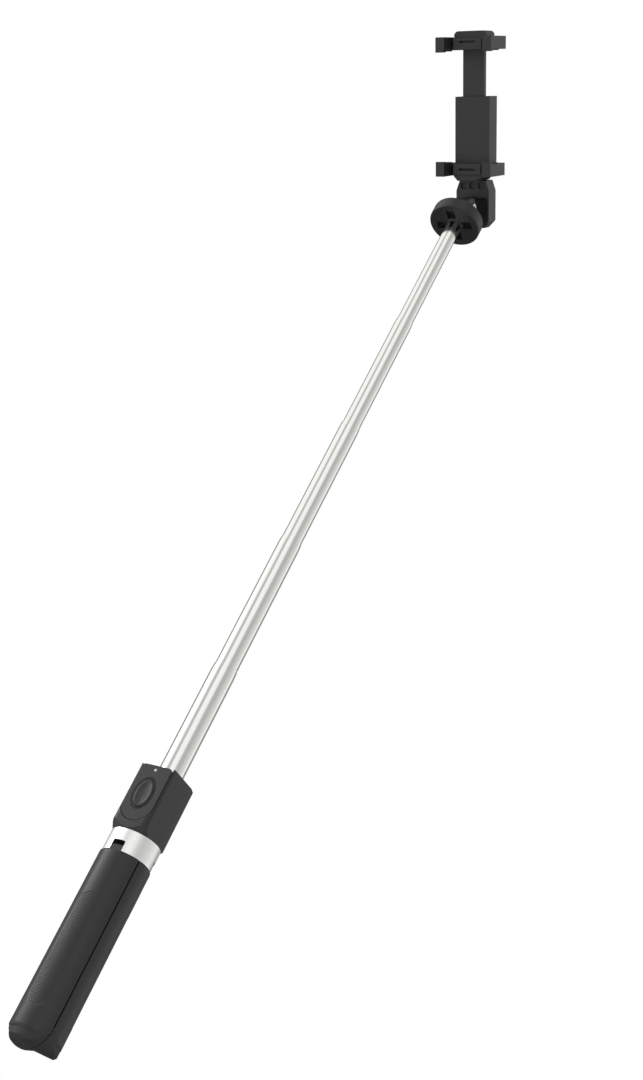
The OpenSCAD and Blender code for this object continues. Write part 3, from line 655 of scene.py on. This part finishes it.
panel_middle = foot_low.z + 49
pin_out, pin_z, tab_radius = 11.5, ring_low.z + 2, 2.4
sideways = Matrix(((0, 0, 1, 0), (1, 0, 0, 0), (0, 1, 0, 0), (0, 0, 0, 1)))
legs = (("front", 0), ("right", 120), ("left", 240))
rubber = grained("foot_rubber", (0.013, 0.013, 0.0135), (0.03, 0.03, 0.03),
                 0.6, 0.1, 0.5, 0.4, 0.2, 0.3)
for side, turn in legs:
    spin = Matrix.Rotation(math.radians(turn), 4, "Z")
    shell = link(f"leg_shell_{side}", leg_mesh("leg", leg_low.z, ring_low.z - 0.3))
    low, corner, half_end = leg_low.z, 9.0, 13.3
    outside = [(-16, low - 1), (16, low - 1), (16, low + corner + 1), (half_end, low + corner)]
    outside += arc(half_end - corner, low + corner, corner, 0, -90, 16)
    outside += arc(corner - half_end, low + corner, corner, -90, -180, 16)
    outside += [(-half_end, low + corner), (-16, low + corner + 1)]
    cut_away(shell, prism("end_cut", outside, 0, 30, standing))
    eased(shell, 0.3, 55, 2)
    shell.data.transform(spin)
    for half_width, radius in ((4.7, 3.75), (6.8, 3.1), (8.8, 2.55)):
        pin = Matrix.Translation((-half_width, -pin_out, pin_z)) @ Matrix.Rotation(math.radians(90), 4, "Y")
        width = 2 * half_width
        cut_away(shell, turned("swing", [(0, 0), (radius, 0), (radius, width), (0, width)], 48, spin @ pin))
    tab_low, tab_high = ring_low.z - 5, pin_z + tab_radius
    tab_front, tab_rear = -pin_out - tab_radius, -pin_out + tab_radius
    tab = rounded([(tab_front, tab_low, 0), (tab_rear, tab_low, 0), (tab_rear, tab_high, 2.3),
                   (tab_front, tab_high, 2.3)], 10)
    lug = prism("tab", tab, -3.55, 3.55, spin @ sideways)
    eased(lug, 0.25, 40, 2)
    join = bmesh.new()
    join.from_mesh(settle(shell, 40).data)
    join.from_mesh(lug.data)
    whole = bpy.data.meshes.new(f"leg_shell_{side}")
    join.to_mesh(whole)
    join.free()
    bpy.data.objects.remove(lug)
    shell.data = whole
    put(shell, satin_black, f"{side}_leg", "satin_black", f"leg_{side}")


def cad_copy(node, name, width, angle=30, segments=2):
    """The CAD node's own shape as a new piece with its edges eased."""
    work = bmesh.new()
    work.from_mesh(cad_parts[node].data)
    bmesh.ops.remove_doubles(work, verts=work.verts, dist=2e-6)
    bmesh.ops.dissolve_limit(work, angle_limit=math.radians(0.8), verts=work.verts, edges=work.edges)
    mesh = bpy.data.meshes.new(name)
    work.to_mesh(mesh)
    work.free()
    mesh.materials.clear()
    piece = link(name, mesh)
    return eased(piece, width, angle, segments) if width else settle(piece)


for side, turn in legs:
    shoe = cad_copy(f"foot_{side}", f"rubber_foot_{side}", 0.5, 25, 3)
    put(shoe, rubber, f"{side}_leg", "soft_black", f"foot_{side}")
    lining = cad_copy(f"leg_cover_{side}", f"inner_cover_{side}", 0.15, 50)
    put(lining, hidden_black, f"{side}_leg", "dark_plastic", f"leg_cover_{side}")


# Pole: five thin steel tubes, polished bright. The upper end of each is swaged
# down to a short neck that guides the next tube.
tube_wall, swage = 0.25, 4
for index in range(6):
    node = "outer_tube" if index == 0 else f"tube_{index}"
    tube_low, tube_high = box_mm(node)
    radius = tube_high.x
    nearer = (box_mm(f"tube_{index + 1}")[1].x + 0.3) if index < 5 else radius
    top = tube_high.z
    if index < 5:
        shoulder = top - swage
        outer = [(radius, tube_low.z), (radius, shoulder - 0.2), (radius - 0.05, shoulder + 0.3),
                 (nearer + 0.12, top - 1.9), (nearer + 0.02, top - 1.3), (nearer, top - 0.1),
                 (nearer - 0.08, top)]
        inner = [(nearer - tube_wall, top), (nearer - tube_wall, top - 1.5), (radius - tube_wall, shoulder),
                 (radius - tube_wall, tube_low.z)]
    else:
        outer = [(radius, tube_low.z), (radius, top)]
        inner = [(radius - tube_wall, top), (radius - tube_wall, tube_low.z)]
    tube = turned(f"pole_{node}", outer + inner, 128)
    body = "handle" if index == 0 else f"pole_{index}"
    put(tube, tube_steel, body, "tube_steel", node)


# Top cap: a thick black disc moulded round the last tube, ribbed underneath in
# a cross, with two ears above that carry the tilt screw.
cap_piece = cad_copy("top_cap", "pole_cap", 0.35, 30, 3)
put(cap_piece, satin_black, "pole_5", "satin_black", "top_cap")

# Tilting arm: a black moulding with a sunk front and three small coring
# pockets in its neck. It turns on the cap's screw and carries the clamp.
arm = cad_copy("tilt_arm", "tilting_arm", 0.45, 30, 3)
put(arm, satin_black, "head", "satin_black", "tilt_arm")
arm_lid = cad_copy("arm_cover", "arm_lid", 0.3, 30, 2)
put(arm_lid, hidden_black, "head", "dark_plastic", "arm_cover")

# Clamp: the lower jaw and the spine are one black moulding. The upper jaw
# slides in it on a flat bar, pulled shut by two springs.
clamp = cad_copy("clamp_body", "clamp_moulding", 0.4, 30, 3)
put(clamp, satin_black, "clamp", "satin_black", "clamp_body")
clamp_lid = cad_copy("clamp_cover", "clamp_lid", 0.25, 30, 2)
put(clamp_lid, hidden_black, "clamp", "dark_plastic", "clamp_cover")
upper = cad_copy("upper_jaw", "upper_jaw_moulding", 0.4, 30, 3)
put(upper, satin_black, "jaw", "satin_black", "upper_jaw")
for node, body in (("lower_pads", "clamp"), ("upper_pads", "jaw")):
    pads = cad_copy(node, f"{node}_rubber", 0.25, 30, 2)
    put(pads, rubber, body, "soft_black", node)

# Everything else keeps the shape it was designed with: hub, bushes, screws,
# springs and the parts inside the remote, each in its own material.
sliding_plastic = grained("sliding_plastic", (0.62, 0.61, 0.58), (0.7, 0.7, 0.68),
                          0.38, 0.1, 0.6, 0.2, 0.2)
board_green = grained("board_green", (0.02, 0.12, 0.05), (0.05, 0.2, 0.1), 0.3, 0.15, 0.8, 0.3, 0.4)
contact_brass = metal("contact_brass", (0.78, 0.60, 0.28), 0.3, 0.1, 1.7, 0.2)
lens_clear = grained("lens_clear", (0.50, 0.55, 0.62), (0.6, 0.65, 0.7), 0.12, 0.04, 0.9, 0.1, 0.1, 0.6)
finishes = {
    "leg_hub": hidden_black, "mouth_bush": hidden_black, "base_plug": hidden_black,
    "remote_back": hidden_black,
    "leg_pins": screw_steel, "hub_screws": screw_steel, "tilt_screw": screw_steel, "tilt_nut": screw_steel,
    "friction_washers": screw_steel, "swivel_screw": screw_steel, "cover_screws": screw_steel,
    "clamp_springs": screw_steel, "spring_posts": screw_steel, "remote_switch": screw_steel,
    "coin_cell": screw_steel, "cell_contact": contact_brass, "remote_board": board_green,
    "status_lens": lens_clear,
}
finishes.update({f"tube_bush_{i}": sliding_plastic for i in range(1, 6)})
for node, material in finishes.items():
    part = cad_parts[node]
    for index in range(len(part.material_slots)):
        part.material_slots[index].material = material
